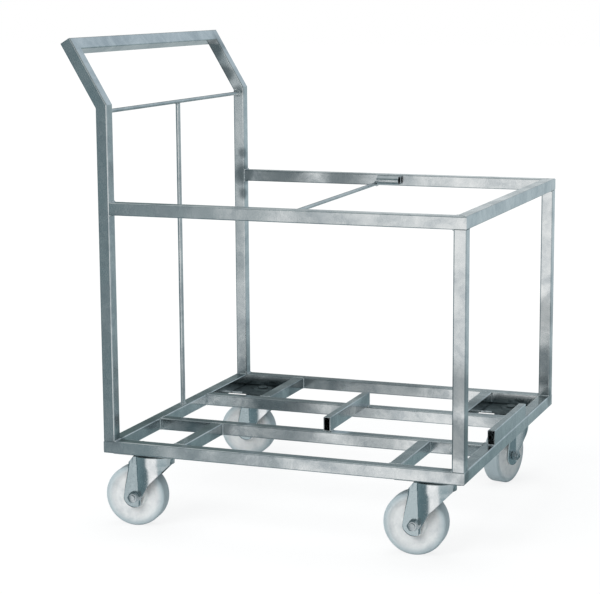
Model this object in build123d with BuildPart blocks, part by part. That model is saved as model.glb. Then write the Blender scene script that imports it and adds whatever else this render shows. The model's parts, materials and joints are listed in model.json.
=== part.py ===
from build123d import *
import os
from math import cos, radians, sin, tan

# A four-wheeled push trolley of welded square tube: a base on four swivel castors, an open frame
# round the load and a slanted handle. Millimetres. The origin is on the floor, under the middle of
# the whole trolley; X runs along the base with the handle end at -X, Y runs from front to rear.

# Overall sizes
base_length = 750.0
base_width = 715.0
top_frame_height = 664.0  # floor to the top of the top rails
bend_height = 848.0  # floor to the bend between handle post and handle arm
handle_arm = 144.0  # length of the arm's lower edge, from the bend to the end of the handle
handle_lean = 30.6  # degrees from upright

# Square tube
tube = 25.0
tube_wall = 1.5
tube_corner = 2.5

# Base layout, as clear distances between tubes
front_bay = 189.0  # front rail to inner front rail
rear_bay = 208.0  # inner rear rail to rear rail
left_box = 118.0  # left rail to the stubs of the left castor boxes
right_box = 106.0  # right rail to the stubs of the right castor boxes

# Riser tubes, laid on edge on the inner rails
riser_width = 15.0
riser_height = 30.0
riser_wall = 1.5
riser_corner = 2.0
riser_set_back = 7.0  # front end behind the inner front rail's front face
riser_shortfall = 10.0  # rear end before the inner rear rail's rear face
mid_riser_offset = 389.5  # left face of the base to the left face of the middle riser

# Thin rods
brace_diameter = 8.0
upright_diameter = 10.0
handle_brace_drop = 7.0  # bend to the middle of the handle's cross rod
top_brace_rear = 347.5  # left face of the base to the rod's middle, at the rear rail
top_brace_front = 364.0  # the same, at the front rail

# Sleeve on the rear top rail
sleeve_diameter = 21.3
sleeve_wall = 2.0
sleeve_length = 50.0
sleeve_gap = 2.0  # rear end of the top rod to the sleeve's left end
sleeve_rise = 13.0  # underside of the top rail to the sleeve's axis

# Castors
castor_left_inset = 80.5  # swivel axis from the left end of the base
castor_right_inset = 76.5  # the same, from the right end
castor_side_inset = 61.0  # swivel axis from the side of the base
plate_length = 140.0
plate_width = 95.0
plate_thickness = 4.0
plate_corner = 8.0
boss_radius = 24.0
boss_height = 3.0
boss_taper = 35.0  # degrees
race_radius = 30.0
race_bore = 16.0
race_height = 5.0
pin_radius = 7.0
pin_head_radius = 11.0
pin_head_height = 4.0
washer_radius = 19.0
washer_thickness = 3.0
pin_nut_width = 20.0
pin_nut_height = 6.0
crown_top_radius = 40.0
crown_radius = 44.0
crown_depth = 4.0  # from the crown's flat top down to its widest edge
crown_skirt = 14.0  # turned-down rim below that edge
fork_thickness = 3.5
fork_gap = 45.0  # clear width between the legs
fork_shoulder = 12.0  # height of the leg's upright rear edge
hub_end_radius = 22.5  # rounded lower end of the leg
waist_forward = 35.0  # the leading edge's bend, forward of the axle
waist_rise = 22.5  # the leading edge's bend, above the axle
rib_width = 11.0
rib_height = 2.0
rib_forward = 15.0  # rib's middle line, forward of the axle
rib_foot = 6.0  # rib's lower end, above the axle
rib_taper = 20.0  # degrees
trail = 34.5  # axle behind the swivel axis
wheel_diameter = 125.0
wheel_width = 36.0
wheel_shoulder = 7.0
wheel_clearance = 10.9  # under the king pin's nut
hub_width = 40.0
hub_radius = 21.0
web_width = 27.0
web_foot_radius = 25.0
rim_foot_radius = 46.0
rim_inner_radius = 51.0
axle_radius = 6.0
bush_radius = 10.0
bolt_head_width = 19.0
bolt_head_height = 7.5
nut_width = 19.0
nut_height = 10.0
bolt_stub = 3.0  # thread past the nut
swivel_front_left = 6.0  # degrees that each fork is turned, as it was left; 0 trails to -X
swivel_front_right = 3.0
swivel_rear_left = 4.0
swivel_rear_right = 76.0

# Clearances
pin_fit = 0.05  # radial, pins and bolts in their holes
wheel_fit = 0.1  # radial, wheel on its bush
swivel_gap = 0.3  # between the fork's crown and the fixed pieces above and below it

# Heights, worked out from the sizes above
wheel_radius = wheel_diameter / 2
axle_drop = (plate_thickness + race_height + fork_thickness + 2 * swivel_gap + washer_thickness
             + pin_nut_height + wheel_clearance + wheel_radius)
base_bottom = wheel_radius + axle_drop
base_top = base_bottom + tube
top_rail_bottom = top_frame_height - tube

# Places along X and Y
lean = radians(handle_lean)
handle_overhang = handle_arm * sin(lean) - tube_corner * (sin(lean) + cos(lean) - 1)
left = (handle_overhang - base_length) / 2
right = left + base_length
front = -base_width / 2
rear = base_width / 2
half_tube = tube / 2
inner_front = front + tube + front_bay
inner_rear = rear - tube - rear_bay
left_stub = left + tube + left_box
right_stub = right - tube - right_box

os.makedirs("parts", exist_ok=True)


def save(builder, label):
    builder.part.label = label
    export_step(builder.part, f"parts/{label}.step")


def hollow_section(width, height, wall, corner):
    RectangleRounded(width, height, corner)
    RectangleRounded(width - 2 * wall, height - 2 * wall, max(corner - wall, wall / 4),
                     mode=Mode.SUBTRACT)


def square_tube(label, start, along, length, cuts=(), side=(0, 1, 0)):
    # start is the middle of the section; each cut is a point and the direction that is cut away
    with BuildPart() as piece:
        with BuildSketch(Plane(origin=start, x_dir=side, z_dir=along)):
            hollow_section(tube, tube, tube_wall, tube_corner)
        extrude(amount=length)
        for point, away in cuts:
            split(bisect_by=Plane(origin=point, z_dir=away), keep=Keep.BOTTOM)
    save(piece, label)


# Base ring, mitred at its corners
base_middle = base_bottom + half_tube
for label, y, inward in (("base_front_rail", front, 1), ("base_rear_rail", rear, -1)):
    square_tube(label, (left, y + inward * half_tube, base_middle), (1, 0, 0), base_length,
                cuts=(((left, y, base_middle), (-1, inward, 0)),
                      ((right, y, base_middle), (1, inward, 0))))
for label, x, inward in (("base_left_rail", left, 1), ("base_right_rail", right, -1)):
    square_tube(label, (x + inward * half_tube, front, base_middle), (0, 1, 0), base_width,
                cuts=(((x, front, base_middle), (inward, -1, 0)),
                      ((x, rear, base_middle), (inward, 1, 0))),
                side=(1, 0, 0))

# Inner rails, between the left and the right rail
for label, y in (("inner_front_rail", inner_front + half_tube),
                 ("inner_rear_rail", inner_rear - half_tube)):
    square_tube(label, (left + tube, y, base_middle), (1, 0, 0), base_length - 2 * tube)

# Stubs that close the castor boxes
for side_name, x in (("left", left_stub + half_tube), ("right", right_stub - half_tube)):
    square_tube(f"front_{side_name}_stub", (x, front + tube, base_middle), (0, 1, 0), front_bay,
                side=(1, 0, 0))
    square_tube(f"rear_{side_name}_stub", (x, inner_rear, base_middle), (0, 1, 0), rear_bay,
                side=(1, 0, 0))

# Handle: posts, leaning arms and the bar between them
arm_direction = Vector(-sin(lean), 0, cos(lean))
arm_square = Vector(cos(lean), 0, sin(lean))
bend_normal = (-sin(lean / 2), 0, cos(lean / 2))
bend_rise = tube * tan(lean / 2)
arm_end = Vector(left, 0, bend_height) + arm_direction * handle_arm
for label, y, inward in (("front", front, 1), ("rear", rear, -1)):
    middle = y + inward * half_tube
    bend = Vector(left, y, bend_height)
    corner = arm_end + Vector(0, y, 0)
    square_tube(f"{label}_handle_post", (left + half_tube, middle, base_top), (0, 0, 1),
                bend_height + bend_rise - base_top,
                cuts=((bend, bend_normal),))
    square_tube(f"{label}_handle_arm",
                bend + arm_square * half_tube + Vector(0, inward * half_tube, 0) - arm_direction * tube,
                arm_direction, handle_arm + tube,
                cuts=((bend, tuple(-n for n in bend_normal)),
                      (corner, arm_direction + Vector(0, inward, 0))))
square_tube("handle_bar", arm_end + arm_square * half_tube - arm_direction * half_tube
            + Vector(0, front, 0), (0, 1, 0), base_width,
            cuts=((arm_end + Vector(0, front, 0), Vector(0, -1, 0) - arm_direction),
                  (arm_end + Vector(0, rear, 0), Vector(0, 1, 0) - arm_direction)),
            side=arm_square)

# End posts and top frame
for label, middle in (("front", front + half_tube), ("rear", rear - half_tube)):
    square_tube(f"{label}_end_post", (right - half_tube, middle, base_top), (0, 0, 1),
                top_rail_bottom - base_top)
top_middle = top_rail_bottom + half_tube
for label, y, inward in (("front_top_rail", front, 1), ("rear_top_rail", rear, -1)):
    square_tube(label, (left + tube, y + inward * half_tube, top_middle), (1, 0, 0),
                base_length - tube,
                cuts=(((right, y, top_middle), (1, inward, 0)),))
square_tube("end_top_rail", (right - half_tube, front, top_middle), (0, 1, 0), base_width,
            cuts=(((right, front, top_middle), (-1, -1, 0)),
                  ((right, rear, top_middle), (-1, 1, 0))),
            side=(1, 0, 0))

# Riser tubes on the base, the end one flush with the right rail
riser_front = inner_front + riser_set_back
for label, x in (("middle_riser_tube", left + mid_riser_offset + riser_width / 2),
                 ("end_riser_tube", right - riser_width / 2)):
    with BuildPart() as riser:
        with BuildSketch(Plane(origin=(x, riser_front, base_top + riser_height / 2),
                               x_dir=(1, 0, 0), z_dir=(0, 1, 0))):
            hollow_section(riser_width, riser_height, riser_wall, riser_corner)
        extrude(amount=inner_rear - riser_shortfall - riser_front)
    save(riser, label)


def rod(label, start, end, diameter, cuts=()):
    run = Vector(*end) - Vector(*start)
    with BuildPart() as piece:
        with BuildSketch(Plane(origin=start, z_dir=run)):
            Circle(diameter / 2)
        extrude(amount=run.length)
        for point, away in cuts:
            split(bisect_by=Plane(origin=point, z_dir=away), keep=Keep.BOTTOM)
    save(piece, label)


# Rods: across the handle, up to it from the base, and across the top frame
handle_brace_height = bend_height - handle_brace_drop
rod("handle_cross_rod", (left + half_tube, front + tube, handle_brace_height),
    (left + half_tube, rear - tube, handle_brace_height), brace_diameter)
rod("upright_rod", (left + half_tube, 0, base_top),
    (left + half_tube, 0, handle_brace_height - brace_diameter / 2), upright_diameter)

# The top rod runs slightly askew, and its ends are cut to the faces of the rails
top_brace_height = top_rail_bottom + brace_diameter / 2
front_face = (left + top_brace_front, front + tube, top_brace_height)
rear_face = (left + top_brace_rear, rear - tube, top_brace_height)
overrun = (Vector(*rear_face) - Vector(*front_face)).normalized() * brace_diameter
rod("top_cross_rod", tuple(Vector(*front_face) - overrun), tuple(Vector(*rear_face) + overrun),
    brace_diameter, cuts=((front_face, (0, -1, 0)), (rear_face, (0, 1, 0))))

sleeve_left = left + top_brace_rear + brace_diameter / 2 + sleeve_gap
with BuildPart() as sleeve:
    with BuildSketch(Plane(origin=(sleeve_left, rear - tube - sleeve_diameter / 2,
                                   top_rail_bottom + sleeve_rise),
                           x_dir=(0, 1, 0), z_dir=(1, 0, 0))):
        Circle(sleeve_diameter / 2)
        Circle(sleeve_diameter / 2 - sleeve_wall, mode=Mode.SUBTRACT)
    extrude(amount=sleeve_length)
save(sleeve, "rail_sleeve")

# Castor levels, down from the underside of the base
race_top = -plate_thickness
crown_top = race_top - race_height - swivel_gap
crown_under = crown_top - fork_thickness
crown_edge = crown_top - crown_depth
washer_top = crown_under - swivel_gap
pin_nut_top = washer_top - washer_thickness
pin_top = boss_height + pin_head_height
leg_inner = fork_gap / 2
leg_outer = leg_inner + fork_thickness


def turned(plane, *points, mode=Mode.ADD):
    # a turned form: its half section as radius and height pairs, turned about the plane's Z
    section = Plane(origin=plane.origin, x_dir=plane.x_dir, z_dir=-plane.y_dir)
    with BuildSketch(section) as half_section:
        with BuildLine():
            Polyline(*points, close=True)
        make_face()
    revolve(half_section.sketch, axis=Axis(plane.origin, plane.z_dir), mode=mode)


def castor(corner, x, y, swivel):
    turn = radians(swivel)
    head = Plane(origin=(x, y, base_bottom), x_dir=(cos(turn), sin(turn), 0), z_dir=(0, 0, 1))
    plate_level = Plane(origin=(x, y, base_bottom - plate_thickness), z_dir=(0, 0, 1))
    side = Plane(origin=head.origin, x_dir=head.x_dir, z_dir=-head.y_dir)
    axle = Plane(origin=side.from_local_coords(Vector(-trail, -axle_drop, 0)),
                 x_dir=head.x_dir, z_dir=side.z_dir)

    # plate with a pressed boss under the pin's head
    with BuildPart() as plate:
        with BuildSketch(plate_level):
            RectangleRounded(plate_length, plate_width, plate_corner)
        extrude(amount=plate_thickness)
        with BuildSketch(head):
            Circle(boss_radius)
        extrude(amount=boss_height, taper=boss_taper)
        with BuildSketch(plate_level):
            Circle(pin_radius + pin_fit)
        extrude(amount=plate_thickness + boss_height, mode=Mode.SUBTRACT)
    save(plate, f"{corner}_castor_plate")

    with BuildPart() as race:
        with BuildSketch(plate_level):
            Circle(race_radius)
            Circle(race_bore, mode=Mode.SUBTRACT)
        extrude(amount=-race_height)
    save(race, f"{corner}_castor_race")

    # king pin: head, shank, and the washer and nut that hold the fork up
    with BuildPart() as pin:
        turned(head,
               (0, pin_top),
               (pin_head_radius - pin_head_height / 2, pin_top),
               (pin_head_radius, pin_top - pin_head_height / 2),
               (pin_head_radius, boss_height),
               (pin_radius, boss_height),
               (pin_radius, washer_top),
               (washer_radius, washer_top),
               (washer_radius, pin_nut_top),
               (0, pin_nut_top))
        with BuildSketch(head.offset(pin_nut_top)):
            RegularPolygon(pin_nut_width / 2, 6, major_radius=False)
        extrude(amount=-pin_nut_height)
    save(pin, f"{corner}_king_pin")

    with BuildPart() as fork:
        # two legs, rounded round the axle, with a leading edge that runs back down to it
        with BuildSketch(side):
            with Locations((-trail, -axle_drop)):
                Circle(hub_end_radius)
            with BuildLine():
                Polyline((-crown_radius, crown_edge),
                         (-crown_radius, crown_edge - fork_shoulder),
                         (-trail, -axle_drop), close=True)
            make_face()
            make_hull()
            with BuildLine():
                Polyline((-crown_radius, crown_top),
                         (-crown_radius, crown_edge - fork_shoulder),
                         (-trail, -axle_drop),
                         (hub_end_radius - trail, -axle_drop),
                         (waist_forward - trail, waist_rise - axle_drop),
                         (crown_radius - fork_thickness, crown_edge - crown_skirt),
                         (crown_radius - fork_thickness, crown_top), close=True)
            make_face()
        extrude(amount=leg_outer, both=True)
        # pressed rib down each leg
        for outward in (side.z_dir, -side.z_dir):
            foot = Vector(rib_forward - trail, (crown_top + rib_foot - axle_drop) / 2, 0)
            with BuildSketch(Plane(origin=side.from_local_coords(foot) + outward * leg_outer,
                                   x_dir=(0, 0, 1), z_dir=outward)):
                SlotOverall(axle_drop - rib_foot + crown_top, rib_width)
            extrude(amount=rib_height, taper=rib_taper)
        with BuildSketch(side):
            Rectangle(4 * crown_radius + 4 * hub_end_radius, 4 * axle_drop)
        extrude(amount=leg_inner, both=True, mode=Mode.SUBTRACT)
        # the legs end under the dished crown, which joins them
        turned(head,
               (crown_top_radius, crown_top),
               (2 * crown_radius, crown_top),
               (2 * crown_radius, crown_edge),
               (crown_radius, crown_edge), mode=Mode.SUBTRACT)
        turned(head,
               (pin_radius + pin_fit, crown_top),
               (crown_top_radius, crown_top),
               (crown_radius, crown_edge),
               (crown_radius, crown_edge - crown_skirt),
               (crown_radius - fork_thickness, crown_edge - crown_skirt),
               (crown_radius - fork_thickness, crown_edge - fork_thickness / 2),
               (crown_top_radius - fork_thickness / 2, crown_under),
               (pin_radius + pin_fit, crown_under))
        with BuildSketch(axle):
            Circle(axle_radius + pin_fit)
        extrude(amount=leg_outer + rib_height, both=True, mode=Mode.SUBTRACT)
    save(fork, f"{corner}_castor_fork")

    with BuildPart() as bolt:
        with BuildSketch(axle.offset(leg_outer)):
            RegularPolygon(bolt_head_width / 2, 6, major_radius=False)
        extrude(amount=bolt_head_height)
        with BuildSketch(axle.offset(leg_outer)):
            Circle(axle_radius)
        extrude(amount=-(2 * leg_outer + nut_height + bolt_stub))
    save(bolt, f"{corner}_axle_bolt")

    with BuildPart() as nut:
        with BuildSketch(axle.offset(-leg_outer)):
            RegularPolygon(nut_width / 2, 6, major_radius=False)
            Circle(axle_radius, mode=Mode.SUBTRACT)
        extrude(amount=-nut_height)
    save(nut, f"{corner}_axle_nut")

    with BuildPart() as bush:
        with BuildSketch(axle):
            Circle(bush_radius)
            Circle(axle_radius + pin_fit, mode=Mode.SUBTRACT)
        extrude(amount=leg_inner, both=True)
    save(bush, f"{corner}_axle_bush")

    # wheel with a hub, a thinner web and rounded shoulders
    half_section = ((bush_radius + wheel_fit, hub_width / 2), (hub_radius, hub_width / 2),
                    (web_foot_radius, web_width / 2), (rim_foot_radius, web_width / 2),
                    (rim_inner_radius, wheel_width / 2), (wheel_radius, wheel_width / 2))
    with BuildPart() as wheel:
        turned(axle, *half_section, *[(r, -w) for r, w in reversed(half_section)])
        tread_edges = wheel.edges().filter_by(
            lambda edge: edge.geom_type == GeomType.CIRCLE and abs(edge.radius - wheel_radius) < wheel_fit)
        fillet(tread_edges, wheel_shoulder)
    save(wheel, f"{corner}_castor_wheel")


for corner, x, y, swivel in (
        ("front_left", left + castor_left_inset, front + castor_side_inset, swivel_front_left),
        ("front_right", right - castor_right_inset, front + castor_side_inset, swivel_front_right),
        ("rear_left", left + castor_left_inset, rear - castor_side_inset, swivel_rear_left),
        ("rear_right", right - castor_right_inset, rear - castor_side_inset, swivel_rear_right)):
    castor(corner, x, y, swivel)
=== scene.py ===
import json
from math import acos, atan2, cos, pi, radians, sin, sqrt, tan

import bmesh
import bpy
from mathutils import Euler, Matrix, Vector


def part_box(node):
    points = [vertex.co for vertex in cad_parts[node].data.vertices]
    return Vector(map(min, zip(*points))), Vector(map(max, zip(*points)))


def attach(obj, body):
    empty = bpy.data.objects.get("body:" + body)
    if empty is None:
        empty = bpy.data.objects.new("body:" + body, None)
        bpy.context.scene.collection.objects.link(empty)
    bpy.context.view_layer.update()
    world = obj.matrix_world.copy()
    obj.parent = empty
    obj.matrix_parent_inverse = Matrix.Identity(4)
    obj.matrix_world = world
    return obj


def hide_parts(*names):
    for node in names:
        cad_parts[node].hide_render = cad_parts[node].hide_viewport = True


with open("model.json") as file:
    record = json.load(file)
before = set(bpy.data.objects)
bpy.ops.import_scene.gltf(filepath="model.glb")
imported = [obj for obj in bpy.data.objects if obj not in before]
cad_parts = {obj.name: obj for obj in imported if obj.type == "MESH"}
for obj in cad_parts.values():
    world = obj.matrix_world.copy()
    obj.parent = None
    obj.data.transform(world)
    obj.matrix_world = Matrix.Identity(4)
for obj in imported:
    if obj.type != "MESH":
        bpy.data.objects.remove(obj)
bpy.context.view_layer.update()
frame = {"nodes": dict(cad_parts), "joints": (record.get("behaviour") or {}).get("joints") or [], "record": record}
print("frame loaded:", len(frame["nodes"]), "CAD nodes")

mm = 0.001
corners = ("front_left", "front_right", "rear_left", "rear_right")


def hexColour(code):
    # sRGB hex to the linear values that the shaders use
    parts = [int(code[i:i + 2], 16) / 255 for i in (1, 3, 5)]
    return tuple(p / 12.92 if p <= 0.04045 else ((p + 0.055) / 1.055) ** 2.4 for p in parts) + (1,)


def addNode(tree, kind, inputs=None, links=None, **settings):
    # one node with its settings, the values of its sockets and what is linked into them
    node = tree.nodes.new(kind)
    for name, value in settings.items():
        setattr(node, name, value)
    for key, value in (inputs or {}).items():
        node.inputs[key].default_value = value
    for key, source in (links or {}).items():
        tree.links.new(source, node.inputs[key])
    return node


def setStops(ramp, stops):
    while len(ramp.elements) < len(stops):
        ramp.elements.new(1)
    for element, (place, colour) in zip(ramp.elements, stops):
        element.position = place
        element.color = hexColour(colour)


def newMaterial(name):
    material = bpy.data.materials.new(name)
    material.use_nodes = True
    tree = material.node_tree
    tree.nodes.clear()
    out = addNode(tree, "ShaderNodeOutputMaterial")
    coords = addNode(tree, "ShaderNodeTexCoord").outputs["Object"]
    return material, tree, out, coords


# Zinc coat of the welded frame
zinc = {
    "dark": "#c4cacd", "middle": "#d8dcdd", "light": "#e8eaea",
    "burntAndShaded": "#5d6a6e",   # dull, burnt coat beside a weld, and painted shade where the frame's own parts shade it
    "spangle": 11,        # mm across a zinc crystal
    "crystalShare": 0.11, "grainShare": 0.12,   # how much crystals and grain add to the clouds' tone
    "cloud": 70,          # mm across a cloud of duller or brighter coat
    "grain": 1.6,         # mm, coarser than the real grain so that it shows
    "wave": 110,          # mm between the shallow dents of a thin wall
    "dent": 1.6,          # mm, how deep they would be if the noise ran from 0 to 1
}


def galvanisedCoat(name, roughness=0.17, burnsAndShade=()):
    # hot-dip galvanised mild steel: bright metal with crystals, drifting clouds of duller coat, walls that are
    # never quite flat, and dark patches: burnt coat where it was welded, painted shade elsewhere
    material, tree, out, coords = newMaterial(name)
    crystals = addNode(tree, "ShaderNodeTexVoronoi", {"Scale": 1000 / zinc["spangle"]}, {"Vector": coords})
    crystal = addNode(tree, "ShaderNodeSeparateColor",
                      links={"Color": crystals.outputs["Color"]}).outputs[0]
    clouds = addNode(tree, "ShaderNodeTexNoise",
                     {"Scale": 1000 / zinc["cloud"], "Detail": 5.0, "Roughness": 0.62, "Distortion": 0.6},
                     {"Vector": coords}).outputs["Fac"]
    grain = addNode(tree, "ShaderNodeTexNoise", {"Scale": 1000 / zinc["grain"], "Detail": 2.0},
                    {"Vector": coords}).outputs["Fac"]
    wave = addNode(tree, "ShaderNodeTexNoise", {"Scale": 1000 / zinc["wave"], "Detail": 1.0},
                   {"Vector": coords}).outputs["Fac"]
    tone = addNode(tree, "ShaderNodeMath", {1: zinc["crystalShare"]}, {0: crystal, 2: clouds},
                   operation="MULTIPLY_ADD").outputs[0]
    tone = addNode(tree, "ShaderNodeMath", {1: zinc["grainShare"]}, {0: grain, 2: tone},
                   operation="MULTIPLY_ADD").outputs[0]
    ramp = addNode(tree, "ShaderNodeValToRGB", links={"Fac": tone})
    setStops(ramp.color_ramp, ((0.46, zinc["dark"]), (0.63, zinc["middle"]), (0.82, zinc["light"])))
    colour = ramp.outputs["Color"]
    # each patch darkens the coat towards one dark colour: burnt coat beside the welds, painted shade on the wider
    # patches
    burntAndShaded = None
    for place, size, share in burnsAndShade:
        away = addNode(tree, "ShaderNodeVectorMath", {1: place}, {0: coords}, operation="DISTANCE")
        wavy = addNode(tree, "ShaderNodeMath", {1: size * 0.9}, {0: clouds, 2: away.outputs["Value"]},
                       operation="MULTIPLY_ADD")
        mask = addNode(tree, "ShaderNodeMapRange", {1: size * 0.75, 2: size * 1.5, 3: share, 4: 0.0},
                       {0: wavy.outputs[0]}, interpolation_type="SMOOTHSTEP").outputs[0]
        burntAndShaded = mask if burntAndShaded is None else addNode(
            tree, "ShaderNodeMath", links={0: burntAndShaded, 1: mask}, operation="MAXIMUM").outputs[0]
    if burntAndShaded is not None:
        colour = addNode(tree, "ShaderNodeMix", {7: hexColour(zinc["burntAndShaded"])}, {0: burntAndShaded, 6: colour},
                         data_type="RGBA").outputs[2]
    rough = addNode(tree, "ShaderNodeMapRange", {1: 0.3, 2: 0.7, 3: roughness + 0.05, 4: roughness - 0.04},
                    {0: clouds}).outputs[0]
    dents = addNode(tree, "ShaderNodeBump", {"Strength": 1.0, "Distance": zinc["dent"] * mm},
                    {"Height": wave})
    bump = addNode(tree, "ShaderNodeBump", {"Strength": 0.2, "Distance": 0.0002},
                   {"Height": grain, "Normal": dents.outputs[0]})
    shader = addNode(tree, "ShaderNodeBsdfPrincipled", {"Metallic": 1.0},
                     {"Base Color": colour, "Roughness": rough, "Normal": bump.outputs[0]})
    tree.links.new(shader.outputs[0], out.inputs["Surface"])
    return material


plating = {"cloud": 26, "scuff": 3}      # mm across a cloud of the coat, and between handling marks


def platedSteel(name, dark, light, roughness, paintedPanelShade=None):
    # zinc-plated pressed steel: a thinner, smoother coat than hot dip, with handling marks, and painted shade:
    # darker where the piece's own shade attribute says so
    material, tree, out, coords = newMaterial(name)
    clouds = addNode(tree, "ShaderNodeTexNoise",
                     {"Scale": 1000 / plating["cloud"], "Detail": 4.0, "Roughness": 0.6},
                     {"Vector": coords}).outputs["Fac"]
    scuffs = addNode(tree, "ShaderNodeTexNoise", {"Scale": 1000 / plating["scuff"], "Detail": 3.0},
                     {"Vector": coords}).outputs["Fac"]
    ramp = addNode(tree, "ShaderNodeValToRGB", links={"Fac": clouds})
    setStops(ramp.color_ramp, ((0.32, dark), (0.68, light)))
    rough = addNode(tree, "ShaderNodeMapRange", {1: 0.3, 2: 0.7, 3: roughness + 0.08, 4: roughness - 0.05},
                    {0: scuffs}).outputs[0]
    colour = ramp.outputs["Color"]
    # painted shade: the colour is mixed towards a darker one by the attribute
    if paintedPanelShade:
        share = addNode(tree, "ShaderNodeAttribute", attribute_name="paintedPanelShade").outputs["Fac"]
        colour = addNode(tree, "ShaderNodeMix", {7: hexColour(paintedPanelShade)}, {0: share, 6: colour},
                         data_type="RGBA").outputs[2]
    bump = addNode(tree, "ShaderNodeBump", {"Strength": 0.07, "Distance": 0.0002}, {"Height": scuffs})
    shader = addNode(tree, "ShaderNodeBsdfPrincipled", {"Metallic": 1.0},
                     {"Base Color": colour, "Roughness": rough, "Normal": bump.outputs[0]})
    tree.links.new(shader.outputs[0], out.inputs["Surface"])
    return material


nylon = {
    "dark": "#c3c6c8", "middle": "#dddddd", "light": "#ebebea",
    "paintedTreadShade": "#9fafb5",            # painted shade of the tread and the face's outer band
    "treadShadeFrom": 0.7, "treadShadeTo": 0.97, "treadShadeShare": 0.8,     # shares of the wheel's radius, and how grey
    "mark": 22, "grain": 1.5,     # mm
}


def mouldedNylon(name):
    # moulded polyamide: off-white and satin, scuffed, and greyed towards its tread by painted shade
    material, tree, out, coords = newMaterial(name)
    marks = addNode(tree, "ShaderNodeTexNoise",
                    {"Scale": 1000 / nylon["mark"], "Detail": 5.0, "Roughness": 0.65},
                    {"Vector": coords}).outputs["Fac"]
    fine = addNode(tree, "ShaderNodeTexNoise", {"Scale": 1000 / nylon["grain"], "Detail": 2.0},
                   {"Vector": coords}).outputs["Fac"]
    ramp = addNode(tree, "ShaderNodeValToRGB", links={"Fac": marks})
    setStops(ramp.color_ramp,
             ((0.25, nylon["dark"]), (0.48, nylon["middle"]), (0.75, nylon["light"])))
    # how far out from the axle a point is, as a share of the wheel's radius
    outwards = addNode(tree, "ShaderNodeAttribute", attribute_name="outwards").outputs["Fac"]
    # painted shade: blue-grey mixed in by radius, strongest at the tread
    paintedTreadShade = addNode(tree, "ShaderNodeMapRange",
                   {1: nylon["treadShadeFrom"], 2: nylon["treadShadeTo"], 3: 0.0, 4: nylon["treadShadeShare"]}, {0: outwards},
                   interpolation_type="SMOOTHSTEP").outputs[0]
    colour = addNode(tree, "ShaderNodeMix", {7: hexColour(nylon["paintedTreadShade"])},
                     {0: paintedTreadShade, 6: ramp.outputs["Color"]}, data_type="RGBA").outputs[2]
    bump = addNode(tree, "ShaderNodeBump", {"Strength": 0.12, "Distance": 0.0002}, {"Height": fine})
    shader = addNode(tree, "ShaderNodeBsdfPrincipled", {"Roughness": 0.42, "IOR": 1.53},
                     {"Base Color": colour, "Normal": bump.outputs[0]})
    tree.links.new(shader.outputs[0], out.inputs["Surface"])
    return material


baseLow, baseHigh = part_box("base_front_rail")
baseBottom, baseTop = baseLow.z, baseHigh.z
left, right, front = baseLow.x, baseHigh.x, baseLow.y
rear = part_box("base_rear_rail")[1].y
topBottom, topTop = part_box("front_top_rail")[0].z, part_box("front_top_rail")[1].z
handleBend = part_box("rear_handle_post")[1].z
tube = baseTop - baseBottom

# patches where the coat is darkened: a place in the frame and a radius, in metres, and how dark the coat is there.
# The small ones at the weld corners and at the handle's bend are burnt coat beside the welds. Those running up the
# handle above its bend just darken it. The wider ones on the lower end posts, along the left of the rear top rail
# and over the base's rails are painted shade
burnAndShadePatches = (
    ((left + tube, rear - tube, topTop - 0.01), 0.032, 0.8),
    ((left + tube, rear - tube, topBottom - 0.03), 0.02, 0.75),
    ((right - tube, front + tube, baseTop), 0.03, 0.75),
    ((right, front + 0.02, baseBottom + 0.01), 0.026, 0.7),
    ((right - 0.005, rear - tube, baseTop), 0.03, 0.75),
    ((right - tube * 0.5, front, baseTop + 0.06), 0.06, 0.65),
    ((right - tube * 0.5, front, baseTop + 0.16), 0.06, 0.6),
    ((right - tube * 0.5, rear - tube, baseTop + 0.06), 0.07, 0.5),
    ((right - tube * 0.5, rear - tube, baseTop + 0.18), 0.06, 0.5),
    ((left + tube, front + tube, baseTop), 0.028, 0.75),
    ((left, rear - 0.01, baseTop), 0.022, 0.75),
    ((left + 0.01, rear - tube, handleBend - 0.01), 0.018, 0.75),
    ((left - 0.02, rear - tube, handleBend + 0.03), 0.03, 0.75),
    ((left - 0.05, rear - tube, handleBend + 0.09), 0.04, 0.7),
    ((left - 0.08, rear - tube, handleBend + 0.14), 0.04, 0.6),
    ((left + tube, rear - tube, topTop + 0.04), 0.016, 0.6),
    ((left + 0.12, rear - tube, topTop), 0.1, 0.72),
    ((left + 0.27, rear - tube, topTop), 0.08, 0.55),
    ((left + 0.15, rear - 0.02, baseTop), 0.19, 0.72),
    ((0.04, rear - 0.02, baseTop), 0.16, 0.6),
    ((left + 0.2, 0.1, baseTop), 0.17, 0.6),
    ((0.04, 0.1, baseTop), 0.1, 0.4),
    ((left + 0.1, front + 0.21, baseTop), 0.12, 0.55),
    ((left + 0.3, front + 0.21, baseTop), 0.14, 0.5),
    ((right - 0.25, front + 0.21, baseTop), 0.1, 0.35),
    ((right - 0.1, rear - 0.14, baseTop), 0.1, 0.6),
)
coats = {
    # the tube coat takes the weld burns and the painted shade patches
    "galvanised_tube": galvanisedCoat("hotDipGalvanisedTube", burnsAndShade=burnAndShadePatches),
    "galvanised_rod": galvanisedCoat("hotDipGalvanisedRod", roughness=0.3),
    "castor_steel": platedSteel("zincPlatedPressing", "#d6dbdd", "#f0f2f3", 0.2, paintedPanelShade="#b9c6ca"),
    "fastener_steel": platedSteel("zincPlatedFastener", "#9fa9ad", "#c6cccf", 0.26),
    "white_nylon": mouldedNylon("mouldedWhiteNylon"),
}
beadCoat = galvanisedCoat("galvanisedWeldBead", roughness=0.34)
shadedPlateCoat = platedSteel("paintedShadePlate", "#4f585a", "#737c7e", 0.42)      # painted shade: as dark as the plates, races and king pins look in the shade of the rails and crowns
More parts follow.
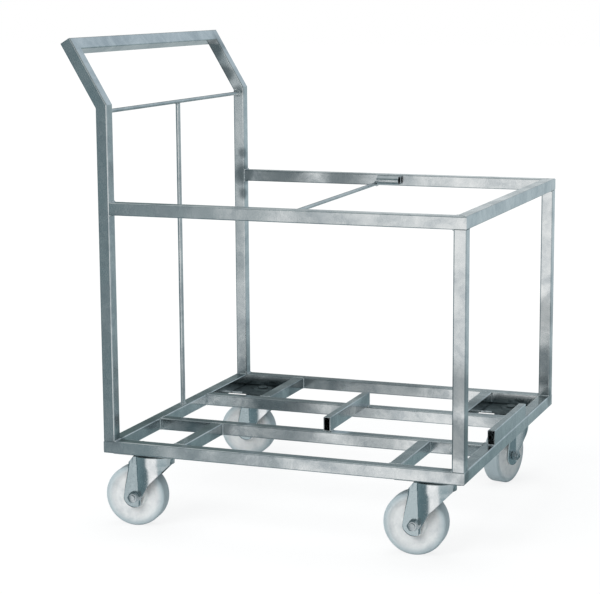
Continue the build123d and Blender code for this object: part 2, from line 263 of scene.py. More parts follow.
shadedInsideCoat = platedSteel("paintedShadeInside", "#343d3e", "#4d5658", 0.5)     # painted shade: the pressing's inner side, as dark as it looks between the legs

for member in frame["record"]["subparts"]:
    piece = frame["nodes"][member["node"]]
    piece.data.materials.clear()
    # plates, races and king pins get the painted shade coat
    inPaintedShade = member["node"].endswith(("_castor_plate", "_castor_race", "_king_pin"))
    piece.data.materials.append(shadedPlateCoat if inPaintedShade else coats[member["material_slot"]])
print("materials on", len(frame["nodes"]), "CAD nodes")


def newPiece(name, points, faces, material, body, place, outward=None, sharp=38):
    # a finished piece with its place in its mesh; outward is a point and the way its face looks
    mesh = bpy.data.meshes.new(name)
    mesh.from_pydata([place @ Vector(p) for p in points], [], faces)
    work = bmesh.new()
    work.from_mesh(mesh)
    bmesh.ops.remove_doubles(work, verts=work.verts, dist=1e-6)
    bmesh.ops.recalc_face_normals(work, faces=work.faces)
    if outward:
        spot, way = place @ Vector(outward[0]), place.to_3x3() @ Vector(outward[1])
        nearest = min(work.faces, key=lambda face: (face.calc_center_median() - spot).length)
        if nearest.normal.dot(way) < 0:
            bmesh.ops.reverse_faces(work, faces=work.faces)
    work.to_mesh(mesh)
    work.free()
    for face in mesh.polygons:
        face.use_smooth = True
    mesh.set_sharp_from_angle(angle=radians(sharp))
    piece = bpy.data.objects.new(name, mesh)
    bpy.context.scene.collection.objects.link(piece)
    mesh.materials.append(material)
    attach(piece, body)
    return piece


def filleted(turns, closed=True, steps=5):
    # a polyline of (x, y, radius) with rounded corners
    line = []
    count = len(turns)
    for i, (x, y, radius) in enumerate(turns):
        here = Vector((x, y))
        if radius <= 0 or (not closed and i in (0, count - 1)):
            line.append(here)
            continue
        before = Vector(turns[i - 1][:2]) - here
        after = Vector(turns[(i + 1) % count][:2]) - here
        half = before.angle(after) / 2
        reach = min(radius / tan(half), 0.49 * before.length, 0.49 * after.length)
        radius = reach * tan(half)
        centre = here + (before.normalized() + after.normalized()).normalized() * (radius / sin(half))
        start = here + before.normalized() * reach - centre
        end = here + after.normalized() * reach - centre
        first = atan2(start.y, start.x)
        sweep = (atan2(end.y, end.x) - first + pi) % (2 * pi) - pi
        for k in range(steps + 1):
            angle = first + sweep * k / steps
            line.append(centre + Vector((cos(angle), sin(angle))) * radius)
    return line


def turned(section, segments, closed=True):
    # a section of (radius, height) points turned about the Y axis
    points, faces = [], []
    count = len(section)
    for i in range(segments):
        angle = 2 * pi * i / segments
        points += [(radius * cos(angle), height, radius * sin(angle)) for radius, height in section]
        for j in range(count if closed else count - 1):
            k = (j + 1) % count
            ring = (i + 1) % segments * count
            faces.append((i * count + j, ring + j, ring + k, i * count + k))
    return points, faces


def joined(*shapes):
    points, faces = [], []
    for morePoints, moreFaces in shapes:
        start = len(points)
        points += morePoints
        faces += [tuple(start + v for v in face) for face in moreFaces]
    return points, faces


def smoothStep(value):
    value = min(max(value, 0.0), 1.0)
    return value * value * (3 - 2 * value)


# Castors, in millimetres, seen from the swivel axis at the underside of the base:
# x is forward, y is along the axle and z is up
fork = {
    "thickness": 3.5, "outside": 26.0, "bore": 7.05, "top": -9.3,
    "length": 44.0, "width": 35.5,   # the crown's edge is an oval with these half axes
    "edgeFillet": 4.0, "skirt": -27.3, "rearEdge": -44.5,
    "frontAngle": 23.0,         # degrees from straight ahead to the leading edge's upper end
    "hubEnd": 22.5, "hubArc": (186.0, 310.0),      # radius, and degrees from its rear to its front end
    "waist": (-2.0, -69.0), "waistFillet": 22.0, "heel": (-20.0, -101.0), "heelFillet": 9.0,
    "rearLine": ((-46.0, -40.0), (-49.0, -55.0), (-53.0, -74.0)),      # rear edge, going down
    "lowWidth": 33.0,           # half width of the oval where the leading edge turns down
    "foldForward": -25.0,       # edge between the flat rear panel and the rounded front
    "noseShift": 3.5,           # how far forward the oval is widest
    "foldWidth": 2.4,           # how wide that edge is rounded
    "crownRound": 24.0,         # the crown is round out to here and oval beyond
    "rearSlope": (33.0, 1.25),  # the crown's top slopes down to its rear edge from here, this steeply
    "panelLean": 0.05,          # how much the panel leans inwards towards the rear
    # below the waist the rear half of the rounded front flattens by this share, over this height
    "rearDrawIn": 0.55, "drawInHeight": 30.0,
    "rows": 60, "columns": 80,
}
wheel = {"radius": 62.5, "halfWidth": 18.0, "shoulder": 7.0, "bore": 10.1, "hubRadius": 21.0,
         "hubHalf": 20.0, "webHalf": 13.5, "webFoot": 25.0, "rimFoot": 42.0, "rimInner": 52.0}
bolt = {"across": 19.0, "head": 7.5, "nut": 10.0, "stub": 3.0, "shank": 6.0, "pitch": 1.5,
        "threadDepth": 0.6,
        "cornerAngle": 30.0, "cornerStart": 0.94}     # corners turned off in degrees, from a share of the flat

joints = {joint["name"]: joint for joint in frame["joints"]}


def castorPlace(corner):
    # the castor's own axes in the frame, and the middle of its axle in them
    swivel, spin = joints[f"{corner}_castor_swivel"], joints[f"{corner}_wheel_spin"]
    across = Vector(spin["axis"]).normalized()
    forward = across.cross(Vector((0, 0, 1)))
    axes = Matrix((forward, across, (0, 0, 1))).transposed().to_4x4()
    origin = Vector((swivel["pos_m"][0], swivel["pos_m"][1], baseBottom))
    place = Matrix.Translation(origin) @ axes @ Matrix.Scale(mm, 4)
    return place, place.inverted() @ Vector(spin["pos_m"])


def ovalWidth(x, width):
    return width * sqrt(max(1 - (x / fork["length"]) ** 2, 0.0))


def folded(x, rim):
    # from the flat panel behind the fold to the rounded front, across the fold
    fold, span = fork["foldForward"], fork["foldWidth"]
    panel = fork["outside"] - fork["panelLean"] * max(fold - x, 0.0)
    return panel + (rim - panel) * smoothStep((x - fold) / span + 0.5)


def rimOutline(side):
    # the crown's edge over one leg, from the rear corner to the leading edge
    length, fold, half = fork["length"], fork["foldForward"], fork["foldWidth"] / 2
    spots = [fork["rearEdge"] + (fold - half - fork["rearEdge"]) * k / 8 for k in range(8)]
    spots += [fold + half * (k / 4 - 1) for k in range(8)]
    first, last, steps = acos((fold + half) / length), radians(fork["frontAngle"]), fork["columns"]
    spots += [length * cos(first + (last - first) * k / steps) for k in range(steps + 1)]
    return [Vector((x, folded(x, ovalWidth(x, fork["width"])) * side)) for x in spots]


def legHeight(x, z):
    # how far the leg's outer face stands from the wheel's middle: the upright oval in front of the fold
    # narrows a little on the way down
    flat, down = fork["outside"], fork["skirt"] - z
    narrowing = smoothStep(down / (fork["skirt"] - fork["waist"][1]))
    width = fork["width"] + (fork["lowWidth"] - fork["width"]) * narrowing
    fullness = max(1 - (x / fork["length"]) ** 2, 0.0)
    rim = ovalWidth(x - fork["noseShift"] * smoothStep(down / 12) * fullness, width)
    if x < 0:
        drawn = fork["rearDrawIn"] * smoothStep((fork["waist"][1] - z) / fork["drawInHeight"])
        rim = flat + max(rim - flat, 0.0) * (1 - drawn)
    return folded(x, rim)


def along(line, share):
    # the point at a share of a polyline's length
    spans = [(b - a).length for a, b in zip(line, line[1:])]
    want = share * sum(spans)
    for a, b, span in zip(line, line[1:], spans):
        if want <= span:
            return a.lerp(b, want / span if span else 0.0)
        want -= span
    return line[-1].copy()


def forkShape(axle):
    hub = Vector((axle.x, axle.z))
    topZ, skirtZ, length = fork["top"], fork["skirt"], fork["length"]
    slopeStart, slope = fork["rearSlope"]
    profile = filleted([(fork["bore"], topZ, 0), (slopeStart, topZ, 0),
                        (length, topZ, fork["edgeFillet"]), (length, skirtZ, 0)], closed=False, steps=6)
    legs = {side: rimOutline(side) for side in (1, -1)}
    ring = list(legs[1])
    frontEnd, rearEnd = legs[1][-1], legs[1][0]
    for k in range(1, 18):
        angle = radians(fork["frontAngle"]) * (1 - k / 9)
        ring.append(Vector((length * cos(angle), fork["width"] * sin(angle))))
    ring += list(reversed(legs[-1]))
    for k in range(1, 16):
        ring.append(Vector((rearEnd.x, -rearEnd.y + 2 * rearEnd.y * k / 16)))
    points, faces = [], []
    count, around, flatRound = len(profile), len(ring), fork["crownRound"]
    for i, edge in enumerate(ring):
        inner = edge.normalized()
        for radius, height in profile:
            share = max(radius - flatRound, 0) / (length - flatRound)
            spot = inner * min(radius, flatRound) + (edge - inner * flatRound) * share
            points.append((spot.x, spot.y, min(height, topZ - slope * (-spot.x - slopeStart))))
        for j in range(count - 1):
            nextRing = (i + 1) % around * count
            faces.append((i * count + j, nextRing + j, nextRing + j + 1, i * count + j + 1))

    arcStart, arcEnd = fork["hubArc"]
    turn = [radians(arcStart + (arcEnd - arcStart) * k / 40) for k in range(41)]
    bottomEdge = [hub + Vector((cos(angle), sin(angle))) * fork["hubEnd"] for angle in turn]
    rearEdge = [Vector((rearEnd.x, skirtZ)), *[Vector(spot) for spot in fork["rearLine"]], bottomEdge[0]]
    frontEdge = filleted([(frontEnd.x, skirtZ, 0), (*fork["waist"], fork["waistFillet"]),
                          (*fork["heel"], fork["heelFillet"]), (bottomEdge[-1].x, bottomEdge[-1].y, 0)],
                         closed=False, steps=6)
    rows = fork["rows"]
    for side, outline in legs.items():
        start = len(points)
        columns = len(outline)
        for j in range(rows + 1):
            v = j / rows
            rearPoint, frontPoint = along(rearEdge, v), along(frontEdge, v)
            for i, edge in enumerate(outline):
                u = i / (columns - 1)
                top = Vector((edge.x, skirtZ))
                bottom = along(bottomEdge, u)
                spot = (top * (1 - v) + bottom * v + rearPoint * (1 - u) + frontPoint * u
                        - rearEdge[0] * (1 - u) * (1 - v) - frontEdge[0] * u * (1 - v)
                        - rearEdge[-1] * (1 - u) * v - frontEdge[-1] * u * v)
                height = abs(edge.y) if j == 0 else legHeight(spot.x, spot.y)
                points.append((spot.x, height * side, spot.y))
                if i and j:
                    here = start + j * columns + i
                    faces.append((here, here - 1, here - 1 - columns, here - columns))
    return points, faces


def wheelSection():
    w = wheel
    half = [(w["bore"], w["hubHalf"], 0.8), (w["hubRadius"], w["hubHalf"], 1.2),
            (w["webFoot"], w["webHalf"], 3), (w["rimFoot"], w["webHalf"], 9),
            (w["rimInner"], w["halfWidth"], 6), (w["radius"], w["halfWidth"], w["shoulder"])]
    return filleted(half + [(r, -y, fillet) for r, y, fillet in reversed(half)], steps=6)


def chamferedHex(across, near, far, hole=0.0):
    # a hexagon along Y whose corners are turned off at its far end
    points, faces = [], []
    segments = 48
    flat = across / 2
    cornerStart = flat * bolt["cornerStart"]
    outwards = 1 if far > near else -1
    for i in range(segments):
        angle = 2 * pi * i / segments
        reach = flat / cos((angle % (pi / 3)) - pi / 6)
        drop = (reach - cornerStart) * tan(radians(bolt["cornerAngle"]))
        for radius, height in ((max(hole, 0.01), far), (cornerStart, far), (reach, far - outwards * drop),
                               (reach, near), (max(hole, 0.01), near)):
            points.append((radius * cos(angle), height, radius * sin(angle)))
        ring = (i + 1) % segments * 5
        faces += [(i * 5 + j, ring + j, ring + (j + 1) % 5, i * 5 + (j + 1) % 5) for j in range(5)]
    return points, faces


def threadedShank(start, end, face):
    # the bolt's plain shank, and ridges where the thread shows past the nut
    radius, deep = bolt["shank"], bolt["threadDepth"]
    outwards = 1 if end > start else -1
    section = [(0.01, start), (radius, start), (radius, face)]
    ridges = int(abs(end - face) / bolt["pitch"])
    for k in range(ridges):
        middle = face + outwards * (k + 0.5) * bolt["pitch"]
        section += [(radius - deep, middle), (radius, middle + outwards * 0.4 * bolt["pitch"])]
    section += [(radius - deep, end), (0.01, end)]
    return turned(section, 32)


for corner in corners:
    place, axle = castorPlace(corner)
    axlePlace = place @ Matrix.Translation(axle)
    points, faces = forkShape(axle)
    pressing = newPiece(f"{corner}ForkPressing", points, faces, coats["castor_steel"], f"{corner}_swivel",
                        place, outward=((-45, fork["outside"], -60), (0, 1, 0)))
    back = place.inverted()
    # painted shade: the flat rear panel behind the fold is darkened, the rounded front is not
    paintedPanelShade = pressing.data.attributes.new("paintedPanelShade", "FLOAT", "POINT")
    for vertex in pressing.data.vertices:
        spot = back @ vertex.co
        paintedPanelShade.data[vertex.index].value = smoothStep((fork["foldForward"] + 1 - spot.x) / 2)
    wall = pressing.modifiers.new("wall", "SOLIDIFY")
    wall.thickness = fork["thickness"] * mm
    wall.offset = -1
    # the pressing's inner side takes the painted shade coat
    pressing.data.materials.append(shadedInsideCoat)
    wall.material_offset = 1
    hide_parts(f"{corner}_castor_fork")

    points, faces = turned(wheelSection(), 96)
    roller = newPiece(f"{corner}NylonWheel", points, faces, coats["white_nylon"], f"{corner}_wheel",
                      axlePlace, outward=((62.5, 0, 0), (1, 0, 0)))
    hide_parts(f"{corner}_castor_wheel")
    back = axlePlace.inverted()
    outwards = roller.data.attributes.new("outwards", "FLOAT", "POINT")
    for vertex in roller.data.vertices:
        spot = back @ vertex.co
        outwards.data[vertex.index].value = Vector((spot.x, spot.z)).length / wheel["radius"]

    face = fork["outside"]
    nutEnd = -(face + bolt["nut"])
    headShape = chamferedHex(bolt["across"], face, face + bolt["head"])
    points, faces = joined(headShape, threadedShank(face, nutEnd - bolt["stub"], nutEnd))
    axleBolt = newPiece(f"{corner}AxleBolt", points, faces, coats["fastener_steel"], f"{corner}_swivel",
                        axlePlace)
    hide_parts(f"{corner}_axle_bolt")
    points, faces = chamferedHex(bolt["across"], -face, nutEnd, bolt["shank"])
    axleNut = newPiece(f"{corner}AxleNut", points, faces, coats["fastener_steel"], f"{corner}_swivel",
                       axlePlace)
    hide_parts(f"{corner}_axle_nut")
print("castors dressed")


# Weld beads: a section swept along each joint's edge, with the ripples of the torch
bead = {
    "radius": 1.9, "pitch": 2.6, "step": 0.9,      # mm
    "ripple": 0.16, "wander": 0.5,                 # shares of the radius
    "drift": 6.25,                                 # mm over which the torch wanders
    "sides": 8, "seed": 4,
}


def beadTree():
    tree = bpy.data.node_groups.new("weldBead", "GeometryNodeTree")
    tree.interface.new_socket("Geometry", in_out="INPUT", socket_type="NodeSocketGeometry")
    tree.interface.new_socket("Geometry", in_out="OUTPUT", socket_type="NodeSocketGeometry")
    for name in ("Radius", "Ripple Pitch", "Ripple Depth", "Wander", "Step"):
        tree.interface.new_socket(name, in_out="INPUT", socket_type="NodeSocketFloat")
    for name in ("Sides", "Seed"):
        tree.interface.new_socket(name, in_out="INPUT", socket_type="NodeSocketInt")
    tree.interface.new_socket("Coat", in_out="INPUT", socket_type="NodeSocketMaterial")
    start = addNode(tree, "NodeGroupInput").outputs
    curve = addNode(tree, "GeometryNodeMeshToCurve", links={0: start["Geometry"]})
    line = addNode(tree, "GeometryNodeResampleCurve", links={"Curve": curve.outputs[0]}, mode="LENGTH")
    tree.links.new(start["Step"], line.inputs["Length"])
    seed = addNode(tree, "ShaderNodeMath", {1: 3.7}, {0: start["Seed"]}, operation="MULTIPLY").outputs[0]
    place = addNode(tree, "GeometryNodeInputPosition").outputs[0]
    drift = addNode(tree, "ShaderNodeTexNoise", {"Scale": 1000 / bead["drift"], "Detail": 1.0},
                    {"Vector": place, "W": seed}, noise_dimensions="4D")
    centred = addNode(tree, "ShaderNodeVectorMath", {1: (0.5, 0.5, 0.5)}, {0: drift.outputs["Color"]},
                      operation="SUBTRACT").outputs[0]
    reach = addNode(tree, "ShaderNodeMath", links={0: start["Wander"], 1: start["Radius"]},
                    operation="MULTIPLY").outputs[0]
    offset = addNode(tree, "ShaderNodeVectorMath", links={0: centred, "Scale": reach},
                     operation="SCALE").outputs[0]
    moved = addNode(tree, "GeometryNodeSetPosition", links={"Geometry": line.outputs[0], "Offset": offset})
    run = addNode(tree, "GeometryNodeSplineParameter").outputs["Length"]
    phase = addNode(tree, "ShaderNodeMath", links={0: run, 1: start["Ripple Pitch"]},
                    operation="DIVIDE").outputs[0]
    phase = addNode(tree, "ShaderNodeMath", {1: 2 * pi}, {0: phase}, operation="MULTIPLY").outputs[0]
    wave = addNode(tree, "ShaderNodeMath", links={0: phase}, operation="SINE").outputs[0]
    wave = addNode(tree, "ShaderNodeMath", {2: 1.0}, {0: wave, 1: start["Ripple Depth"]},
                   operation="MULTIPLY_ADD").outputs[0]
    uneven = addNode(tree, "ShaderNodeMapRange", {1: 0.25, 2: 0.75, 3: 0.72, 4: 1.22},
                     {0: drift.outputs["Fac"]}).outputs[0]
    scale = addNode(tree, "ShaderNodeMath", links={0: wave, 1: uneven}, operation="MULTIPLY").outputs[0]
    scale = addNode(tree, "ShaderNodeMath", links={0: scale, 1: start["Radius"]},
                    operation="MULTIPLY").outputs[0]
    section = addNode(tree, "GeometryNodeCurvePrimitiveCircle", {"Radius": 1.0})
    tree.links.new(start["Sides"], section.inputs["Resolution"])
    swept = addNode(tree, "GeometryNodeCurveToMesh", {"Fill Caps": True},
                    {"Curve": moved.outputs[0], "Profile Curve": section.outputs[0], "Scale": scale})
    solid = addNode(tree, "GeometryNodeRealizeInstances", links={0: swept.outputs[0]})
    coated = addNode(tree, "GeometryNodeSetMaterial",
                     links={"Geometry": solid.outputs[0], "Material": start["Coat"]})
    addNode(tree, "NodeGroupOutput", links={0: coated.outputs[0]})
    return tree


paths = []


def addRun(*points):
    paths.append([Vector(p) for p in points])


def sectionRuns(middle, normal, sides):
    # along the sides of a square tube's end on a face, each with how far the bead stands off the tube
    normal, middle = Vector(normal), Vector(middle)
    half = tube / 2
    for side, stand in sides:
        side = Vector(side)
        span = normal.cross(side) * (half - 0.001)
        off = side * (half + stand * mm)
        addRun(middle + off - span, middle + off + span)


concave, flushed = 0.3, -1.0      # mm that a bead's middle stands off its tube
up, down = (0, 0, 1), (0, 0, -1)
middleZ = (baseBottom + baseTop) / 2
for rail in ("inner_front_rail", "inner_rear_rail"):
    low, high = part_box(rail)
    y = (low.y + high.y) / 2
    for x in (low.x, high.x):
        sectionRuns((x, y, middleZ), (1, 0, 0),
                    (((0, 1, 0), concave), ((0, -1, 0), concave), (up, flushed), (down, flushed)))
for stub in ("front_left_stub", "front_right_stub", "rear_left_stub", "rear_right_stub"):
    low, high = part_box(stub)
    x = (low.x + high.x) / 2
    for y in (low.y, high.y):
        sectionRuns((x, y, middleZ), (0, 1, 0),
                    (((1, 0, 0), concave), ((-1, 0, 0), concave), (up, flushed), (down, flushed)))
for post in ("front_handle_post", "rear_handle_post", "front_end_post", "rear_end_post"):
    low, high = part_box(post)
    x, y = (low.x + high.x) / 2, (low.y + high.y) / 2
    inX, inY = (1 if x < 0 else -1), (1 if y < 0 else -1)
    foot = (((inX, 0, 0), concave), ((0, inY, 0), concave))   # the outer sides are ground flush
    sectionRuns((x, y, baseTop), up, foot)
    if "end" in post:
        sectionRuns((x, y, topBottom), up, foot)
for rail in ("front_top_rail", "rear_top_rail"):
    low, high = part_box(rail)
    y = (low.y + high.y) / 2
    inY = 1 if y < 0 else -1
    sectionRuns((low.x, y, (topBottom + topTop) / 2), (1, 0, 0),
                ((up, concave), (down, concave), ((0, inY, 0), flushed)))
    # seam across the mitre at the other end
    outer = high.y if y > 0 else low.y
    seam = topTop - 1.7 * mm
    addRun((right - tube, outer + inY * tube, seam), (right - 0.004, outer + inY * 0.004, seam))

# risers: short runs where they cross the inner rails, and stitches along the right rail
proud, inset, stitch = 0.3 * mm, 1 * mm, 28 * mm
for riser in ("middle_riser_tube", "end_riser_tube"):
    low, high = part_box(riser)
    for rail in ("inner_front_rail", "inner_rear_rail"):
        railLow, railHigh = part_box(rail)
        fromY, toY = max(low.y, railLow.y) + 2 * inset, min(high.y, railHigh.y) - 2 * inset
        for x in (low.x - proud, high.x + proud):
            if x < right:
                addRun((x, fromY, baseTop + proud), (x, toY, baseTop + proud))
    addRun((low.x + inset, low.y - proud, baseTop + proud),
           (high.x - inset, low.y - proud, baseTop + proud))
endLow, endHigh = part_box("end_riser_tube")
for k in range(3):
    y = endLow.y + (k + 0.5) * (endHigh.y - endLow.y) / 3
    addRun((endLow.x - proud, y - stitch / 2, baseTop + proud),
           (endLow.x - proud, y + stitch / 2, baseTop + proud))


def ringRun(middle, normal, radius, steps=18):
    normal = Vector(normal).normalized()
    first = normal.orthogonal().normalized()
    second = normal.cross(first)
    addRun(*[Vector(middle) + (first * cos(2 * pi * k / steps) + second * sin(2 * pi * k / steps)) * radius
             for k in range(steps + 1)])


# rods: a ring where each end meets its tube, and two short runs under the handle's cross rod
ringGap, plateSink = 0.6 * mm, 0.8 * mm
rodLow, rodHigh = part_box("handle_cross_rod")
rodX, rodZ, rodRadius = (rodLow.x + rodHigh.x) / 2, (rodLow.z + rodHigh.z) / 2, (rodHigh.z - rodLow.z) / 2
for y in (rodLow.y, rodHigh.y):
    ringRun((rodX, y, rodZ), (0, 1, 0), rodRadius + ringGap)
low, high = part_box("upright_rod")
uprightX, uprightY, uprightRadius = (low.x + high.x) / 2, (low.y + high.y) / 2, (high.x - low.x) / 2
ringRun((uprightX, uprightY, low.z), up, uprightRadius + ringGap)
for side in (-1, 1):
    addRun((uprightX, uprightY + side * (uprightRadius - 0.0005), high.z - 0.003),
           (uprightX, uprightY + side * (uprightRadius + 0.004), high.z - 0.0005))
low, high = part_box("top_cross_rod")
ringRun((high.x - 0.004, low.y, (low.z + high.z) / 2), (0, 1, 0), 0.0046)
ringRun((low.x + 0.004, high.y, (low.z + high.z) / 2), (0, 1, 0), 0.0046)
sleeveLow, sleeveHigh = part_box("rail_sleeve")
sleeveY, sleeveZ, sleeveOff = sleeveHigh.y - 1.2 * mm, (sleeveLow.z + sleeveHigh.z) / 2, 4.8 * mm
for side in (1, -1):
    for endX, way in ((sleeveLow.x, 1), (sleeveHigh.x, -1)):
        fromX, toX = sorted((endX + way * 3 * mm, endX + way * 18 * mm))
        addRun((fromX, sleeveY, sleeveZ + side * sleeveOff), (toX, sleeveY, sleeveZ + side * sleeveOff))

# castor plates: stitches where their edges lie on the undersides of the rails, from and to so far from
# each corner
sideFrom, sideTo, endFrom, endTo = 12 * mm, 34 * mm, 14 * mm, 38 * mm
for corner in corners:
    low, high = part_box(f"{corner}_castor_plate")
    z = baseBottom - plateSink
    for x in (low.x - proud, high.x + proud):
        addRun((x, low.y + sideFrom, z), (x, low.y + sideTo, z))
        addRun((x, high.y - sideTo, z), (x, high.y - sideFrom, z))
    for y in (low.y - proud, high.y + proud):
        addRun((low.x + endFrom, y, z), (low.x + endTo, y, z))
        addRun((high.x - endTo, y, z), (high.x - endFrom, y, z))

# bends of the handle's posts, ground nearly flush
halfLean = 15.3      # degrees, half of what the handle leans
bendDrop = tube * tan(radians(halfLean))
for post, inY in (("front_handle_post", 1), ("rear_handle_post", -1)):
    low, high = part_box(post)
    inside = (high.y if inY > 0 else low.y) - inY * 1.5 * mm
    addRun((left + inset, inside, handleBend - bendDrop),
           (left + tube - inset, inside, handleBend - 0.4 * mm))

vertices, edges = [], []
for path in paths:
    edges += [(len(vertices) + k, len(vertices) + k + 1) for k in range(len(path) - 1)]
    vertices += path
source = bpy.data.meshes.new("weldPaths")
source.from_pydata(vertices, edges, [])
tracer = bpy.data.objects.new("weldPaths", source)
bpy.context.scene.collection.objects.link(tracer)
tree = beadTree()
torch = tracer.modifiers.new("torch", "NODES")
torch.node_group = tree
values = {"Radius": bead["radius"] * mm, "Ripple Pitch": bead["pitch"] * mm, "Ripple Depth": bead["ripple"],
          "Wander": bead["wander"], "Step": bead["step"] * mm, "Sides": bead["sides"], "Seed": bead["seed"],
          "Coat": beadCoat}
for item in tree.interface.items_tree:
    if item.in_out == "INPUT" and item.name in values:
        torch[item.identifier] = values[item.name]
evaluated = tracer.evaluated_get(bpy.context.evaluated_depsgraph_get())
welds = bpy.data.objects.new("weldBeads", bpy.data.meshes.new_from_object(evaluated))
bpy.context.scene.collection.objects.link(welds)
bpy.data.objects.remove(tracer)
for face in welds.data.polygons:
    face.use_smooth = True
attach(welds, "trolley")
print("weld beads:", len(paths), "runs,", len(welds.data.polygons), "faces")


# Studio: a white floor, soft lamps, and the room that the bare metal mirrors. Each belt of the room is
# a row of places, in degrees round from straight in front and positive to the right, with their colours
studio = {
    "floorSize": 60.0, "floorGlow": 1.04,
    "shadowShare": 0.2, "shadowFade": (0.7, 1.6),      # metres from the middle over which the shadow fades
    "below": ((-180, "#a2afb2"), (-140, "#b9c2c5"), (-105, "#b3bcbf"), (-80, "#6f868c"), (-27, "#5c7177"),
              (-24, "#768b91"), (-22.4, "#f2f4f5"), (-17, "#ffffff"), (20, "#ffffff"), (25, "#a3b2b7"),
              (60, "#8fa3a9"), (100, "#a6b1b4"), (135, "#71858a"), (152, "#4f6064"), (158, "#7d9498"),
              (166, "#84979b"), (180, "#a2afb2")),
    "level": ((-180, "#dde3e5"), (-162, "#dde3e5"), (-154, "#6b7e80"), (-135, "#c6ced0"), (-110, "#c6ced0"),
              (-80, "#7f9297"), (-24.5, "#5f757b"), (-21.5, "#e4e8ea"), (-17, "#ffffff"), (22, "#ffffff"),
              (30, "#b6c3c7"), (90, "#bcc5c8"), (135, "#a3b3b9"), (151, "#8d9c9f"), (157, "#b3c4cb"),
              (180, "#ccd4d7")),
    "above": ((-180, "#b0babd"), (-164, "#7a888c"), (-152, "#526262"), (-135, "#b9c2c4"), (-105, "#b9c2c4"),
              (-60, "#6c7d80"), (0, "#6c7d80"), (60, "#7c8b8e"), (110, "#b3bdc0"), (140, "#b9c6ce"),
              (168, "#bccad3"), (180, "#b0babd")),
    "overhead": "#c6cdcf",
    "belts": ((-14, -10), (9, 12.5), (34, 52)),      # degrees above the horizon where one belt gives way
    "lamps": (("keySoftbox", (-1.2, -3.2, 2.2), (0, 0, 0.3), 2.4, 95),      # name, place, target, size, watts
              ("topSoftbox", (0.2, 0.6, 3.4), (0, 0, 0.4), 2.8, 60)),
}


def makeFloor():
    half = studio["floorSize"] / 2
    mesh = bpy.data.meshes.new("studioFloor")
    mesh.from_pydata([(-half, -half, 0), (half, -half, 0), (half, half, 0), (-half, half, 0)], [],
                     [(0, 1, 2, 3)])
    floor = bpy.data.objects.new("studioFloor", mesh)
    bpy.context.scene.collection.objects.link(floor)
    material = bpy.data.materials.new("whiteSweep")
    material.use_nodes = True
    tree = material.node_tree
    tree.nodes.clear()
    out = addNode(tree, "ShaderNodeOutputMaterial")
    matt = addNode(tree, "ShaderNodeBsdfDiffuse", {"Color": (0.8, 0.8, 0.8, 1)})
    glow = addNode(tree, "ShaderNodeEmission", {"Strength": studio["floorGlow"]})
    path = addNode(tree, "ShaderNodeLightPath")
    # only the floor near the object takes its shadow; further out it is as white as the backdrop
    away = addNode(tree, "ShaderNodeVectorMath",
                   links={0: addNode(tree, "ShaderNodeTexCoord").outputs["Object"]}, operation="LENGTH")
    near, far = studio["shadowFade"]
    white = addNode(tree, "ShaderNodeMapRange", {1: near, 2: far, 3: 1 - studio["shadowShare"], 4: 1.0},
                    {0: away.outputs["Value"]}).outputs[0]
    share = addNode(tree, "ShaderNodeMath", links={0: path.outputs["Is Camera Ray"], 1: white},
                    operation="MULTIPLY").outputs[0]
    mixed = addNode(tree, "ShaderNodeMixShader", links={0: share, 1: matt.outputs[0], 2: glow.outputs[0]})
    tree.links.new(mixed.outputs[0], out.inputs["Surface"])
    mesh.materials.append(material)
    floor.visible_glossy = False


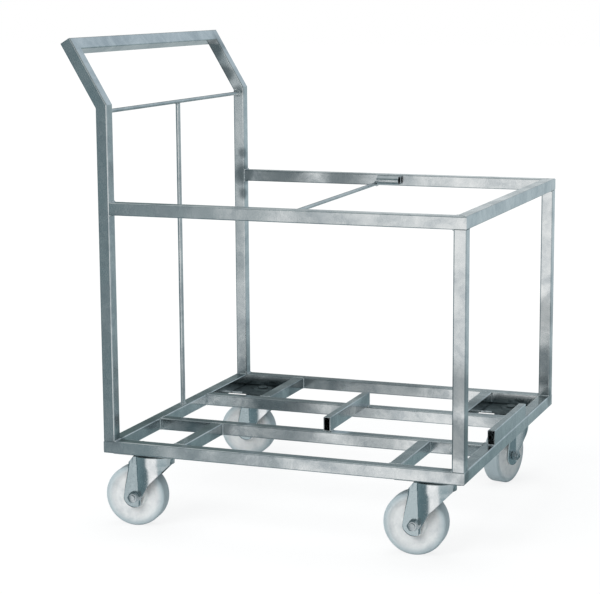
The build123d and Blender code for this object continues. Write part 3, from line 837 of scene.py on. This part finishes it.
def makeWorld():
    world = bpy.data.worlds.new("studioRoom")
    bpy.context.scene.world = world
    world.use_nodes = True
    tree = world.node_tree
    tree.nodes.clear()
    out = addNode(tree, "ShaderNodeOutputWorld")
    direction = addNode(tree, "ShaderNodeTexCoord").outputs["Generated"]
    parts = addNode(tree, "ShaderNodeSeparateXYZ", links={0: direction}).outputs
    ahead = addNode(tree, "ShaderNodeMath", {1: -1.0}, {0: parts["Y"]}, operation="MULTIPLY").outputs[0]
    turn = addNode(tree, "ShaderNodeMath", links={0: parts["X"], 1: ahead}, operation="ARCTAN2").outputs[0]
    turn = addNode(tree, "ShaderNodeMapRange", {1: -pi, 2: pi, 3: 0.0, 4: 1.0}, {0: turn}).outputs[0]
    room = None
    for belt, rise in (("below", None), ("level", studio["belts"][0]), ("above", studio["belts"][1])):
        ramp = addNode(tree, "ShaderNodeValToRGB", links={"Fac": turn})
        setStops(ramp.color_ramp, [(place / 360 + 0.5, colour) for place, colour in studio[belt]])
        if room is None:
            room = ramp.outputs["Color"]
            continue
        share = addNode(tree, "ShaderNodeMapRange", {1: sin(radians(rise[0])), 2: sin(radians(rise[1]))},
                        {0: parts["Z"]}).outputs[0]
        room = addNode(tree, "ShaderNodeMix", links={0: share, 6: room, 7: ramp.outputs["Color"]},
                       data_type="RGBA").outputs[2]
    low, high = studio["belts"][2]
    share = addNode(tree, "ShaderNodeMapRange", {1: sin(radians(low)), 2: sin(radians(high))},
                    {0: parts["Z"]}).outputs[0]
    room = addNode(tree, "ShaderNodeMix", {7: hexColour(studio["overhead"])}, {0: share, 6: room},
                   data_type="RGBA").outputs[2]
    mirrored = addNode(tree, "ShaderNodeBackground", {"Strength": 1.0}, {"Color": room})
    backdrop = addNode(tree, "ShaderNodeBackground", {"Color": (1, 1, 1, 1), "Strength": 1.0})
    path = addNode(tree, "ShaderNodeLightPath").outputs
    seen = addNode(tree, "ShaderNodeMixShader", links={0: path["Is Camera Ray"], 1: mirrored.outputs[0],
                                                       2: backdrop.outputs[0]})
    tree.links.new(seen.outputs[0], out.inputs["Surface"])


def addLamp(name, place, target, size, power):
    light = bpy.data.lights.new(name, "AREA")
    light.size = size
    light.energy = power
    lamp = bpy.data.objects.new(name, light)
    lamp.location = place
    lamp.rotation_euler = (Vector(target) - Vector(place)).to_track_quat("-Z", "Y").to_euler()
    lamp.visible_glossy = False      # the metal mirrors the room alone
    bpy.context.scene.collection.objects.link(lamp)


makeFloor()
makeWorld()
for lamp in studio["lamps"]:
    addLamp(*lamp)
bpy.context.scene.view_settings.view_transform = "Standard"

# Camera at the photograph's place, found from the tubes' edges and the castors
viewpoint = {"place": (1.2968, -3.5262, 1.0720), "turn": (80.4044, 0.3775, 20.8540), "lens": 108.79,
             "reach": 60}      # metres, degrees, mm and metres
lens = bpy.data.cameras.new("photoView")
lens.sensor_width = 36
lens.lens = viewpoint["lens"]
lens.clip_end = viewpoint["reach"]
view = bpy.data.objects.new("photoView", lens)
view.location = viewpoint["place"]
view.rotation_euler = Euler([radians(angle) for angle in viewpoint["turn"]], "XYZ")
bpy.context.scene.collection.objects.link(view)
bpy.context.scene.camera = view
print("studio and camera ready")
